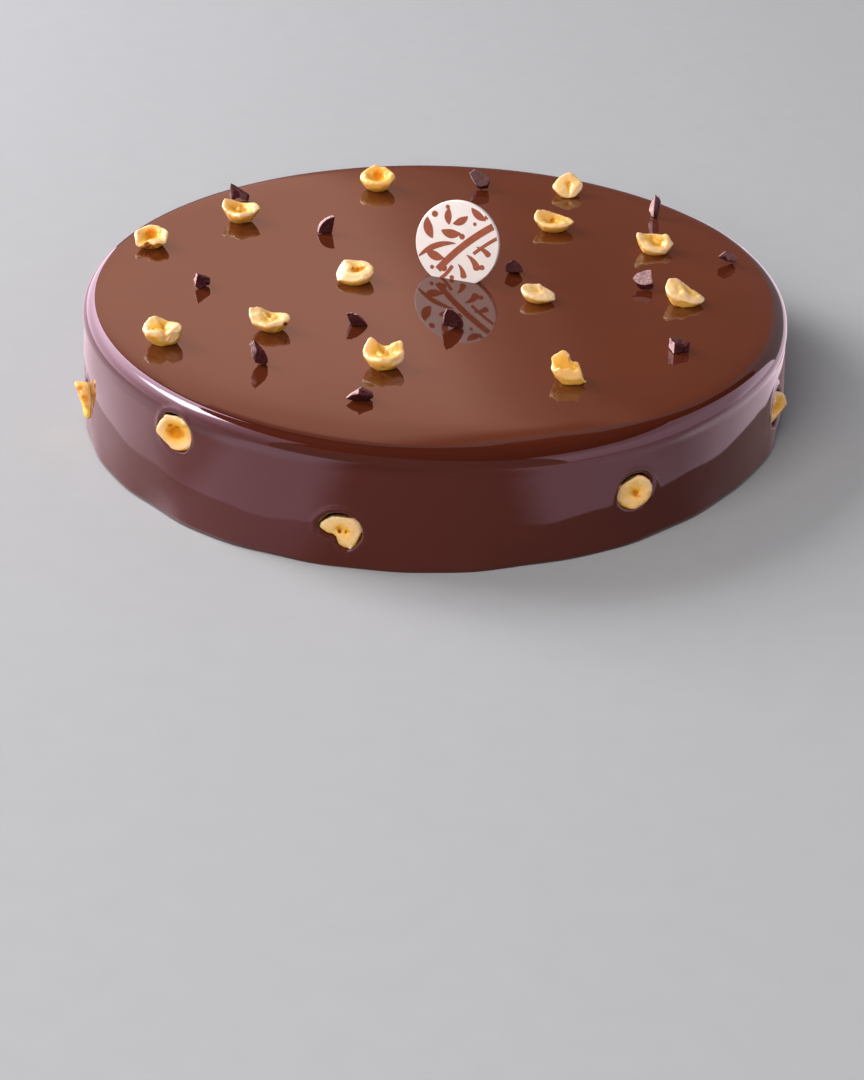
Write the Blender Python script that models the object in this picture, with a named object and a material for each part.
"""A round hazelnut cake under a poured chocolate glaze, in metres, +Z up.

The cake is one solid drum with a rounded upper edge. Its top slopes a little to the right and its
plan is slightly out of round, as a hand-finished cake is. Broken hazelnut halves and small broken
pieces of dark chocolate stand on the top round a white chocolate medallion, which is pushed into
the glaze, and more hazelnut halves are pressed into the side, all the way round.

The origin is the middle of the flat underside. -Y is the front and +X is to the right.
"""

import math
from typing import NamedTuple

import bmesh
import bpy
from mathutils import Euler, Matrix, Vector

MM = 0.001
FULL_TURN = 2 * math.pi

# The drum.
CAKE_RADIUS = 130 * MM
CAKE_HEIGHT = 43.1 * MM
TOP_FALL_RIGHT = 4.5 * MM
TOP_FALL_BACK = 1.1 * MM
TOP_LEAN_RIGHT = 1.15 * MM
EDGE_ROUND = 5.1 * MM
FOOT_SPREAD = 1.35 * MM
FOOT_TUCK = 0.4 * MM
FOOT_RIPPLE = 0.35 * MM
FOOT_RIPPLE_HEIGHT = 9 * MM
# Waves along the foot: (number of waves, share of the ripple, start angle).
FOOT_WAVES = ((11, 1.0, 0.4), (17, 0.7, 2.1), (29, 0.5, 0.0))
# Waves in the plan: (number of waves, cosine share, sine share of the radius).
OUT_OF_ROUND = ((2, -0.0029, 0.0026), (3, -0.0022, 0.0042))
CAKE_SIDES = 96
WALL_STEPS = 5
EDGE_STEPS = 4
TOP_RINGS = (0.62, 0.3)

# Room left round the toppings.
GAP = 0.3 * MM
POCKET_GAP = 0.35 * MM
POCKET_REACH = 5 * MM

# A hazelnut half: a domed outside, a broken rim and a hollow or flat inside.
KERNEL_SIDES = 20
DOME_LEVELS = (0.0, 0.25, 0.55, 0.85)
DOME_FULLNESS = 0.9
RIM_ROUND = 0.9 * MM
RIM_INSET = 0.88
INSIDE_RINGS = (0.7, 0.45, 0.2)

# The medallion.
MEDALLION_RADIUS = 16.2 * MM
MEDALLION_THICKNESS = 2.2 * MM
MEDALLION_EDGE = 0.4 * MM
MEDALLION_SIDES = 48
MEDALLION_MIDDLE = (9.1 * MM, 16.1 * MM)
MEDALLION_RISE = 13.0 * MM
MEDALLION_TURN = -19.3
MEDALLION_LEAN = 14.4


class Kernel(NamedTuple):
    """A hazelnut half. Lengths are in mm and angles in degrees, 0 to the right and 90 to the back.

    foot is the share of the width that it stands on, and belly is how far it bulges between foot
    and rim. slope is (angle, rise) of the rim, and hollow is (middle height, power). A lobe is
    (angle, extra height, extra width share, spread). A pit is (x, y, half length, half width,
    angle, depth).
    """

    width: float
    depth: float
    height: float
    foot: float
    belly: float = 0.04
    foot_shift: tuple = (0, 0)
    slope: tuple = (90, 0)
    lobes: tuple = ()
    hollow: tuple = (4, 1.5)
    pit: tuple = (0, 0, 2, 2, 0, 0)


class Shard(NamedTuple):
    """A broken piece of chocolate. The outline is its front face, x to the right and z up, in mm.

    back is (shift to the right, depth, shift up, scale) of the face behind. A nose is a corner
    (x, y, z) that stands out of the front face. turn is about the vertical and lean tips the top
    backwards, in degrees.
    """

    turn: float
    lean: float
    outline: tuple
    back: tuple
    noses: tuple = ()


# Hazelnut halves on the top: place in mm, then the half.
TOP_NUTS = (
    ((-106.9, 37.8), Kernel(13.3, 12.0, 5.9, 0.52, slope=(90, 0.6),
     lobes=((240, -1.6, -0.08, 15), (300, 0.3, 0.04, 25)), hollow=(4.6, 1.0),
     pit=(0.2, 0.2, 3.4, 3.2, 0, 2.6))),
    ((-74.4, 63.4), Kernel(15.1, 10.5, 5.7, 0.48,
     lobes=((150, 3.3, 0.02, 44), (25, 1.6, 0.0, 36)), hollow=(4.4, 1.1),
     pit=(-1.2, 0.6, 3.4, 1.4, -25, 1.4))),
    ((-21.9, 98.7), Kernel(13.1, 10.8, 7.1, 0.5, belly=0.22, slope=(95, 1.1),
     lobes=((120, 0.5, 0.0, 25),), hollow=(6.0, 1.0), pit=(0.3, -0.2, 3.3, 3.0, 0, 3.6))),
    ((-29.2, 9.1), Kernel(14.3, 12.0, 5.0, 0.72, belly=0.06, slope=(75, 1.3),
     lobes=((180, -1.4, 0.0, 30), (128, 1.2, 0.05, 28), (40, 0.4, 0.0, 30)), hollow=(5.0, 1.0),
     pit=(1.4, 0.5, 2.6, 1.3, 12, 2.4))),
    ((-96.2, -48.2), Kernel(13.9, 11.0, 7.2, 0.6, belly=0.08, foot_shift=(0.8, 0),
     lobes=((125, 2.2, 0.02, 32), (290, -2.4, -0.16, 13), (65, -1.0, 0.0, 14),
            (215, -0.3, 0.05, 30)), hollow=(5.8, 1.0), pit=(1.0, 0.6, 3.4, 1.1, -60, 1.2))),
    ((-58.9, -35.4), Kernel(14.8, 10.0, 4.9, 0.5, foot_shift=(0.8, 0),
     lobes=((152, 3.7, 0.04, 46), (12, 1.4, 0.04, 28)), hollow=(4.5, 1.1),
     pit=(0.4, 1.2, 1.6, 1.2, 0, 0.7))),
    ((-17.7, -64.2), Kernel(14.4, 10.5, 5.6, 0.58, belly=0.1,
     lobes=((142, 5.0, 0.02, 34), (36, 3.6, 0.05, 30)), hollow=(5.2, 1.2),
     pit=(0.0, 0.6, 1.8, 1.4, 0, 1.0))),
    ((53.8, 97.2), Kernel(12.6, 8.6, 4.8, 0.64, slope=(90, 3.6),
     lobes=((270, -0.3, -0.08, 12),), hollow=(4.8, 1.0), pit=(0.2, 0.4, 0.9, 2.0, 0, 1.5))),
    ((46.7, 61.4), Kernel(15.7, 11.0, 4.4, 0.5,
     lobes=((150, 3.8, 0.0, 42), (85, 0.9, 0.0, 36), (356, -0.4, 0.08, 18)),
     hollow=(3.9, 1.1), pit=(-0.8, 0.2, 2.0, 1.7, 0, 1.9))),
    ((84.8, 42.0), Kernel(14.2, 10.5, 4.6, 0.6, slope=(120, 1.8),
     lobes=((168, 1.6, 0.06, 26), (352, -0.4, 0.09, 16), (40, 0.9, 0.02, 24)),
     hollow=(4.2, 1.0), pit=(1.0, 0.4, 2.4, 1.6, -20, 1.8))),
    ((38.4, -5.4), Kernel(13.0, 10.5, 4.1, 0.52, slope=(160, 1.3),
     lobes=((150, 0.9, 0.06, 26), (85, 0.7, 0.0, 24), (345, -0.2, 0.04, 24)),
     hollow=(3.8, 1.0), pit=(-0.4, 1.0, 2.2, 0.9, 50, 0.6))),
    ((92.3, -5.2), Kernel(14.7, 10.5, 4.5, 0.64, slope=(165, 1.8),
     lobes=((130, 3.7, 0.03, 48), (355, 0.0, 0.06, 22)), hollow=(4.8, 1.0),
     pit=(1.5, 2.0, 2.6, 1.1, -35, 0.6))),
    ((46.7, -72.2), Kernel(12.9, 9.5, 6.0, 0.74, foot_shift=(0.8, 0),
     lobes=((116, 5.3, 0.03, 38), (345, -3.0, 0.04, 32), (322, 0.0, 0.12, 16)),
     hollow=(4.9, 1.0), pit=(-0.6, 0.8, 2.6, 1.6, 0, 1.0))),
)

# Hazelnut halves in the side: compass angle and height of the middle, compass angle that the
# broken face looks to, its tip upwards, how far its middle stands proud, and the half.
SIDE_NUTS = (
    (-166.5, 16.2, -164, -16, 3.4, Kernel(11.5, 15.6, 8.0, 0.35,
     lobes=((300, 0.0, -0.1, 20),), hollow=(7.0, 1.0), pit=(0, 1, 2, 2, 0, 1.5))),
    (-133.8, 34.0, -116, 2, 0.9, Kernel(15.0, 13.0, 7.0, 0.42,
     lobes=((120, 0.2, 0.05, 18), (62, 0.0, 0.04, 22), (185, 0.3, 0.05, 30)),
     hollow=(5.8, 1.0), pit=(-0.4, 0.2, 3.2, 3.0, 0, 2.4))),
    (-104.4, 13.2, -102, 0, -0.3, Kernel(15.0, 13.8, 6.5, 0.4,
     lobes=((222, -0.4, -0.6, 30), (297, 0.0, 0.12, 14), (168, 0.0, 0.1, 14)),
     hollow=(6.5, 1.0), pit=(0.4, -0.2, 2.2, 1.2, -15, 1.6))),
    (-59.0, 19.2, -76, 0, 0.8, Kernel(13.6, 13.0, 6.5, 0.4,
     lobes=((168, 0.0, -0.1, 11), (190, 0.0, 0.03, 14), (330, 0.0, -0.06, 14)),
     hollow=(6.2, 1.0), pit=(0.4, -0.4, 1.6, 1.6, 0, 1.2))),
    (-18.3, 14.2, -46, 4, 2.0, Kernel(12.0, 13.8, 7.0, 0.4,
     lobes=((200, 0.5, 0.06, 30), (0, -0.4, 0.06, 24), (270, 0.0, 0.06, 14)),
     hollow=(5.6, 1.0), pit=(0.8, -0.6, 1.8, 2.4, 0, 1.8))),
    (24, 27.0, 24, 0, 0.2, Kernel(13.6, 12.8, 6.5, 0.4,
     lobes=((40, 0.0, -0.1, 16), (200, 0.3, 0.05, 24)), hollow=(6.2, 1.0),
     pit=(-0.3, 0.2, 1.9, 1.3, 30, 1.6))),
    (61, 16.0, 58, 5, 0.5, Kernel(13.9, 12.4, 7.0, 0.4,
     lobes=((120, 0.4, 0.05, 24), (300, -0.3, -0.06, 20)), hollow=(5.8, 1.0),
     pit=(0.3, 0.0, 3.2, 2.9, 0, 2.2))),
    (95, 29.0, 97, -4, 0.0, Kernel(13.0, 13.4, 6.5, 0.4,
     lobes=((330, -0.2, -0.4, 26), (30, 0.0, 0.06, 14)), hollow=(6.3, 1.0),
     pit=(-0.4, 0.3, 1.4, 2.1, 20, 1.5))),
    (129, 18.0, 131, 0, 1.0, Kernel(14.2, 11.8, 7.0, 0.4,
     lobes=((170, 1.1, 0.0, 34), (10, 0.6, 0.0, 30)), hollow=(6.4, 1.0),
     pit=(0.5, 0.3, 2.0, 1.4, 0, 1.2))),
    (161, 31.0, 160, 3, 0.1, Kernel(13.1, 12.6, 6.5, 0.4,
     lobes=((80, 0.0, -0.09, 14), (250, 0.0, 0.05, 20)), hollow=(6.2, 1.0),
     pit=(0.2, -0.3, 1.6, 1.5, 0, 1.3))),
)

# Broken pieces of dark chocolate on the top: place in mm, then the piece.
CHOCOLATE = (
    ((-76.5, 82.6), Shard(-20, 5, ((3.8, 0), (-4.0, 2.0), (-3.4, 6.7), (-0.6, 5.1), (4.0, 2.9)),
                          (0.3, 3.0, -0.4, 0.8))),
    ((-40.9, 52.7), Shard(18, 0, ((-3.5, 0.6), (-3.0, 2.8), (-1.8, 4.7), (-0.1, 6.0), (1.9, 6.6),
                                  (3.5, 6.6), (2.2, 0)), (-0.1, 1.6, 0.2, 1.0))),
    ((-84.5, -0.3), Shard(30, 0, ((-2.5, 0), (-2.7, 6.3), (2.7, 3.3), (2.1, 0.6), (-0.9, 0.1)),
                          (0.4, 3.2, 0.2, 0.85))),
    ((-61.2, -65.9), Shard(-10, 8, ((-1.6, 0.7), (-2.5, 2.2), (-3.2, 4.7), (-3.1, 7.8), (-1.9, 9.5),
                                    (0.2, 7.4), (1.9, 5.2), (3.0, 3.0), (3.2, 1.0), (1.9, 0)),
                           (0.3, 2.6, -0.2, 0.7), noses=((-0.6, -0.9, 5.8),))),
    ((-27.4, -31.2), Shard(8, 0, ((-2.3, 0.3), (-3.7, 4.2), (-2.1, 4.4), (-0.3, 3.9), (1.4, 3.0),
                                  (2.7, 1.7), (3.7, 0)), (-0.3, 3.2, 0, 0.95))),
    ((-25.5, -92.0), Shard(0, 0, ((-4.7, 2.3), (-0.2, 5.1), (4.3, 2.9), (4.7, 1.6), (2.7, 0.3),
                                  (-0.5, 0), (-3.5, 0.6)), (0.6, 3.6, 0.2, 0.75),
                           noses=((-0.3, -1.5, 3.7),))),
    ((7.2, -32.0), Shard(15, 4, ((-2.8, 2.1), (-3.7, 3.9), (-3.6, 5.9), (-2.3, 8.4), (-0.1, 7.6),
                                 (1.7, 5.9), (3.1, 3.9), (3.7, 2.1), (3.6, 0.5), (2.5, 0)),
                         (-0.2, 2.6, 0.2, 0.85))),
    ((18.9, 98.5), Shard(0, 35, ((-0.2, 0), (-1.7, 0.9), (-3.0, 2.6), (-3.8, 4.3), (-3.8, 6.1),
                                 (-2.5, 7.1), (-0.4, 6.7), (2.1, 5.6), (3.6, 4.4), (3.8, 2.8),
                                 (2.9, 0.6)), (0.5, 3.0, -0.6, 0.9))),
    ((30.2, 17.2), Shard(0, 15, ((-2.6, 0), (-3.4, 0.6), (-3.1, 2.1), (-2.3, 3.6), (-1.0, 4.3),
                                 (0.6, 4.1), (2.1, 3.3), (3.2, 1.8), (3.4, 0.6), (2.9, 0)),
                         (0, 4.0, -0.2, 0.6))),
    ((87.9, 76.0), Shard(45, 0, ((-1.0, 9.5), (1.3, 8.0), (2.3, 6.0), (1.6, 3.4), (0.6, 0),
                                 (-2.3, 0.4), (-1.6, 5.4), (-1.4, 8.9)), (0, 2.8, -0.2, 0.9))),
    ((77.5, 5.3), Shard(-8, 48, ((-1.2, 0.3), (-2.7, 1.0), (-3.6, 2.5), (-3.5, 3.7), (-2.5, 4.8),
                                 (-0.4, 5.7), (2.0, 6.7), (2.8, 5.9), (3.6, 1.7), (3.4, 0.8),
                                 (0.6, 0)), (0.7, 2.4, -1.2, 0.95))),
    ((111.7, 30.3), Shard(15, 12, ((-3.3, 2.7), (-3.8, 3.4), (-2.3, 4.5), (-0.9, 5.3), (0.7, 4.6),
                                   (2.7, 3.3), (3.8, 1.7), (3.3, 0), (-0.1, 1.2)),
                          (0.2, 3.0, -0.2, 0.8), noses=((-1.6, -0.9, 3.6),))),
    ((88.0, -47.7), Shard(24, 0, ((-3.2, 0.3), (-3.1, 4.7), (2.1, 4.0), (3.2, 2.0), (3.1, 0)),
                          (0.2, 5.3, 0.2, 0.85))),
)


def finish(name, colour, roughness):
    """A plain Principled material."""
    material = bpy.data.materials.new(name)
    material.use_nodes = True
    shader = material.node_tree.nodes["Principled BSDF"]
    shader.inputs["Base Color"].default_value = (*colour, 1)
    shader.inputs["Roughness"].default_value = roughness
    shader.inputs["Metallic"].default_value = 0
    return material


def add_object(name, points, faces, material, smooth_angle=None):
    """Makes a mesh object from points and faces, and links it to the scene."""
    mesh = bpy.data.meshes.new(name)
    mesh.from_pydata([tuple(point) for point in points], [], faces)
    mesh.validate()
    if smooth_angle is not None:
        mesh.shade_smooth()
        mesh.set_sharp_from_angle(angle=math.radians(smooth_angle))
    if material:
        mesh.materials.append(material)
    obj = bpy.data.objects.new(name, mesh)
    bpy.context.scene.collection.objects.link(obj)
    return obj


def skin(rings, bottom, top):
    """Points and faces of a closed skin: a bottom point, rings from bottom to top, a top point."""
    sides = len(rings[0])
    points = [point for ring in rings for point in ring]
    points += [bottom, top]
    bottom_index, top_index = len(points) - 2, len(points) - 1
    faces = []
    for level in range(len(rings) - 1):
        low, high = level * sides, (level + 1) * sides
        for side in range(sides):
            after = (side + 1) % sides
            faces.append((low + side, low + after, high + after, high + side))
    last = (len(rings) - 1) * sides
    for side in range(sides):
        after = (side + 1) % sides
        faces.append((bottom_index, after, side))
        faces.append((top_index, last + side, last + after))
    return points, faces


# ---- The drum of the cake ---------------------------------------------------------------------


def plan_radius(angle):
    """The drum's radius towards an angle: nearly a circle, with two low waves in it."""
    waves = sum(a * math.cos(n * angle) + b * math.sin(n * angle) for n, a, b in OUT_OF_ROUND)
    return CAKE_RADIUS * (1 + waves)


def top_height(x, y):
    """The height of the glaze's flat top, which falls to the right and a little to the back."""
    return CAKE_HEIGHT - (TOP_FALL_RIGHT * x + TOP_FALL_BACK * y) / CAKE_RADIUS


def foot_ripple(angle, height):
    """Glaze that ran down and set unevenly along the foot."""
    fade = max(0, 1 - height / FOOT_RIPPLE_HEIGHT)
    wave = sum(size * math.sin(count * angle + start) for count, size, start in FOOT_WAVES)
    return FOOT_RIPPLE * fade * wave


def wall_point(angle, inset, height):
    """A point on the drum, a given inset in from its widest outline and at a given height."""
    share = height / CAKE_HEIGHT
    radius = plan_radius(angle) - inset + foot_ripple(angle, height)
    x = radius * math.cos(angle)
    y = radius * math.sin(angle)
    local_height = height + share * (top_height(x, y) - CAKE_HEIGHT)
    return Vector((x + share * TOP_LEAN_RIGHT, y, local_height))


def drum_profile():
    """(inset, height) pairs from the foot, up the wall and over the rounded edge."""
    wall_top = CAKE_HEIGHT - EDGE_ROUND
    profile = [(FOOT_TUCK - FOOT_SPREAD, 0)]
    for step in range(WALL_STEPS + 1):
        share = step / WALL_STEPS
        profile.append((-FOOT_SPREAD * (1 - share), FOOT_TUCK + (wall_top - FOOT_TUCK) * share))
    for step in range(1, EDGE_STEPS + 1):
        angle = math.pi / 2 * step / EDGE_STEPS
        inset = EDGE_ROUND * (1 - math.cos(angle))
        profile.append((inset, wall_top + EDGE_ROUND * math.sin(angle)))
    return profile


def make_cake(material, pockets):
    """The drum, less the pockets that the toppings are pressed into."""
    angles = [FULL_TURN * side / CAKE_SIDES for side in range(CAKE_SIDES)]
    rings = [[wall_point(angle, inset, height) for angle in angles]
             for inset, height in drum_profile()]
    for share in TOP_RINGS:
        ring = []
        for angle in angles:
            x = share * plan_radius(angle) * math.cos(angle)
            y = share * plan_radius(angle) * math.sin(angle)
            ring.append(Vector((x + TOP_LEAN_RIGHT, y, top_height(x, y))))
        rings.append(ring)
    points, faces = skin(rings, Vector((0, 0, 0)), Vector((TOP_LEAN_RIGHT, 0, CAKE_HEIGHT)))
    cake = add_object("cake", points, faces, material, smooth_angle=40)
    cut = cake.modifiers.new("pockets", "BOOLEAN")
    cut.operation = "DIFFERENCE"
    cut.solver = "EXACT"
    cut.operand_type = "COLLECTION"
    cut.collection = pockets
    return cake


# ---- Hazelnut halves --------------------------------------------------------------------------


def lobed(nut, angle, index):
    """The sum of the lobes' height (index 1) or width share (index 2) at an angle in degrees."""
    total = 0
    for lobe in nut.lobes:
        away = (angle - lobe[0] + 180) % 360 - 180
        total += lobe[index] * math.exp(-((away / lobe[3]) ** 2))
    return total


def rim_radius(nut, angle):
    """The rim's distance from the middle, in metres, at an angle in degrees."""
    turn = math.radians(angle)
    half_width, half_depth = nut.width / 2, nut.depth / 2
    ellipse = half_width * half_depth / math.hypot(
        half_depth * math.cos(turn), half_width * math.sin(turn))
    return ellipse * (1 + lobed(nut, angle, 2)) * MM


def rim_height(nut, angle):
    """The rim's height above the foot, in metres, at an angle in degrees."""
    slope_angle, rise = nut.slope
    tilt = rise * math.cos(math.radians(angle - slope_angle))
    return (nut.height + tilt + lobed(nut, angle, 1)) * MM


def dome_point(nut, angle, level, grow=0.0):
    """A point on the outside. level runs from 0 at the foot to 1 at the rim."""
    swell = nut.foot + (1 - nut.foot) * math.sin(level * math.pi / 2) ** DOME_FULLNESS
    swell += nut.belly * math.sin(level * math.pi)
    radius = rim_radius(nut, angle) * swell + grow
    shift = Vector((*nut.foot_shift, 0)) * MM * (1 - level)
    turn = math.radians(angle)
    height = rim_height(nut, angle) * level
    return Vector((radius * math.cos(turn), radius * math.sin(turn), height)) + shift


def pit_depth(nut, x, y):
    """How deep the small hole in the middle is at a place on the broken face."""
    pit_x, pit_y, half_length, half_width, angle, depth = nut.pit
    turn = math.radians(angle)
    away_x, away_y = x / MM - pit_x, y / MM - pit_y
    along = away_x * math.cos(turn) + away_y * math.sin(turn)
    across = away_y * math.cos(turn) - away_x * math.sin(turn)
    spread = (along / half_length) ** 2 + (across / half_width) ** 2
    return depth * math.exp(-spread) * MM


def inside_point(nut, angle, share):
    """A point on the broken face or in the hollow, at a share of the way out to the rim."""
    turn = math.radians(angle)
    middle, power = nut.hollow
    radius = rim_radius(nut, angle) * share
    x, y = radius * math.cos(turn), radius * math.sin(turn)
    height = middle * MM + (rim_height(nut, angle) - middle * MM) * share ** power
    return Vector((x, y, height - pit_depth(nut, x, y)))


def kernel_skin(nut):
    """Points and faces of a hazelnut half that stands on its foot."""
    angles = [360 * side / KERNEL_SIDES for side in range(KERNEL_SIDES)]
    rings = [[dome_point(nut, angle, level) for angle in angles] for level in DOME_LEVELS]
    rim_drop = Vector((0, 0, RIM_ROUND))
    rings.append([dome_point(nut, angle, 1) - rim_drop for angle in angles])
    for share in (RIM_INSET, *INSIDE_RINGS):
        rings.append([inside_point(nut, angle, share) for angle in angles])
    foot = Vector((*nut.foot_shift, 0)) * MM
    return skin(rings, foot, inside_point(nut, 0, 0))


def pocket_skin(nut):
    """Points and faces of the pocket that clears a hazelnut half pressed into the side."""
    angles = [360 * side / KERNEL_SIDES for side in range(KERNEL_SIDES)]
    rings = [[dome_point(nut, angle, level, POCKET_GAP) for angle in angles]
             for level in (*DOME_LEVELS, 1.0)]
    for point in rings[0]:
        point.z -= POCKET_GAP
    mouth = [Vector((point.x, point.y, point.z + POCKET_REACH)) for point in rings[-1]]
    rings.append(mouth)
    foot = Vector((*nut.foot_shift, 0)) * MM
    foot.z -= POCKET_GAP
    return skin(rings, foot, Vector((0, 0, nut.height * MM + POCKET_REACH)))


def side_place(compass, height, looks_to, tip, proud, nut):
    """The matrix of a half in the side: its face looks out of the wall, +Y of the half is up."""
    angle = math.radians(compass)
    edge_height = wall_point(angle, 0, CAKE_HEIGHT).z
    surface = wall_point(angle, 0, height * MM * CAKE_HEIGHT / edge_height)
    look, lift = math.radians(looks_to), math.radians(tip)
    out = Vector((math.cos(look) * math.cos(lift), math.sin(look) * math.cos(lift), math.sin(lift)))
    right = Vector((-math.sin(look), math.cos(look), 0))
    up = out.cross(right)
    turn = Matrix((right, up, out)).transposed().to_4x4()
    return Matrix.Translation(surface + out * (proud - nut.height) * MM) @ turn


def make_top_nuts(material, cake):
    """The hazelnut halves that lie on the glaze."""
    for number, (place, nut) in enumerate(TOP_NUTS, start=1):
        name = f"hazelnut_top_{number:02d}"
        nut_object = add_object(name, *kernel_skin(nut), material, smooth_angle=60)
        x, y = place[0] * MM, place[1] * MM
        nut_object.location = (x, y, top_height(x, y) + GAP)
        nut_object.parent = cake


def make_side_nuts(material, cake):
    """The hazelnut halves that are pressed into the side."""
    for number, place in enumerate(SIDE_NUTS, start=1):
        name = f"hazelnut_side_{number:02d}"
        nut_object = add_object(name, *kernel_skin(place[-1]), material, smooth_angle=60)
        nut_object.matrix_world = side_place(*place)
        nut_object.parent = cake


# ---- Broken chocolate -------------------------------------------------------------------------


def shard_corners(shard):
    """The corners of a broken piece: its front face, the face behind and the noses."""
    shift_x, depth, shift_z, scale = shard.back
    middle_x = sum(x for x, _ in shard.outline) / len(shard.outline)
    corners = [(x, 0, z) for x, z in shard.outline]
    corners += [(middle_x + (x - middle_x) * scale + shift_x, depth, z * scale + shift_z)
                for x, z in shard.outline]
    corners += shard.noses
    turn = Euler((-math.radians(shard.lean), 0, math.radians(shard.turn)), "XYZ").to_matrix()
    return [turn @ Vector(corner) * MM for corner in corners]


def add_hull(name, corners, material):
    """Makes the smallest bulging solid that holds all the corners, with its triangles joined."""
    mesh = bpy.data.meshes.new(name)
    shape = bmesh.new()
    for corner in corners:
        shape.verts.new(corner)
    hull = bmesh.ops.convex_hull(shape, input=shape.verts)
    inside = set(hull["geom_interior"]) | set(hull["geom_unused"])
    bmesh.ops.delete(shape, geom=[part for part in inside if part.is_valid], context="VERTS")
    bmesh.ops.dissolve_limit(shape, angle_limit=math.radians(1), verts=shape.verts,
                             edges=shape.edges)
    bmesh.ops.recalc_face_normals(shape, faces=shape.faces)
    shape.to_mesh(mesh)
    shape.free()
    mesh.materials.append(material)
    obj = bpy.data.objects.new(name, mesh)
    bpy.context.scene.collection.objects.link(obj)
    return obj


def make_shards(material, cake):
    """The broken pieces of dark chocolate on the glaze."""
    for number, (place, shard) in enumerate(CHOCOLATE, start=1):
        corners = shard_corners(shard)
        lowest = min(corner.z for corner in corners)
        piece = add_hull(f"chocolate_{number:02d}", corners, material)
        x, y = place[0] * MM, place[1] * MM
        piece.location = (x, y, top_height(x, y) + GAP - lowest)
        piece.parent = cake


# ---- The medallion ----------------------------------------------------------------------------


def disc_skin(radius, thickness, edge):
    """Points and faces of a disc whose two rims are bevelled by edge. It faces -Y."""
    half = thickness / 2
    profile = ((radius - edge, -half), (radius, edge - half), (radius, half - edge),
               (radius - edge, half))
    rings = []
    for ring_radius, depth in profile:
        ring = []
        for side in range(MEDALLION_SIDES):
            angle = FULL_TURN * side / MEDALLION_SIDES
            ring.append(Vector((ring_radius * math.cos(angle), depth, ring_radius * math.sin(angle))))
        rings.append(ring)
    points, faces = skin(rings, Vector((0, -half, 0)), Vector((0, half, 0)))
    return points, [face[::-1] for face in faces]


def medallion_place():
    """The matrix of the medallion: turned a little to the left and leaning back."""
    x, y = MEDALLION_MIDDLE
    place = Matrix.Translation((x, y, top_height(x, y) + MEDALLION_RISE))
    turn = Matrix.Rotation(math.radians(MEDALLION_TURN), 4, "Z")
    lean = Matrix.Rotation(-math.radians(MEDALLION_LEAN), 4, "X")
    return place @ turn @ lean


def make_medallion(material, cake):
    """The white chocolate disc that stands in the glaze."""
    skin_parts = disc_skin(MEDALLION_RADIUS, MEDALLION_THICKNESS, MEDALLION_EDGE)
    medallion = add_object("medallion", *skin_parts, material, smooth_angle=40)
    medallion.matrix_world = medallion_place()
    medallion.parent = cake


# ---- Pockets in the drum ----------------------------------------------------------------------


def add_pocket(collection, name, skin_parts, place):
    """A cutter that leaves room for one topping in the drum."""
    pocket = add_object(name, *skin_parts, None)
    pocket.matrix_world = place
    pocket.hide_render = True
    pocket.display_type = "WIRE"
    bpy.context.scene.collection.objects.unlink(pocket)
    collection.objects.link(pocket)


def make_pockets():
    """The cutters for the halves in the side and for the medallion's slot."""
    collection = bpy.data.collections.new("pockets")
    bpy.context.scene.collection.children.link(collection)
    for number, place in enumerate(SIDE_NUTS, start=1):
        add_pocket(collection, f"pocket_{number:02d}", pocket_skin(place[-1]), side_place(*place))
    slot = disc_skin(MEDALLION_RADIUS + POCKET_GAP, MEDALLION_THICKNESS + 2 * POCKET_GAP,
                     MEDALLION_EDGE)
    add_pocket(collection, "slot", slot, medallion_place())
    return collection


def clear_scene():
    """Removes what the file started with."""
    for obj in list(bpy.data.objects):
        bpy.data.objects.remove(obj)


def main():
    clear_scene()
    glaze = finish("chocolate_glaze", (0.14, 0.042, 0.024), 0.06)
    hazelnut = finish("hazelnut", (0.78, 0.52, 0.24), 0.5)
    dark_chocolate = finish("dark_chocolate", (0.035, 0.014, 0.012), 0.35)
    white_chocolate = finish("white_chocolate", (0.8, 0.74, 0.7), 0.35)
    cake = make_cake(glaze, make_pockets())
    make_top_nuts(hazelnut, cake)
    make_side_nuts(hazelnut, cake)
    make_shards(dark_chocolate, cake)
    make_medallion(white_chocolate, cake)


main()
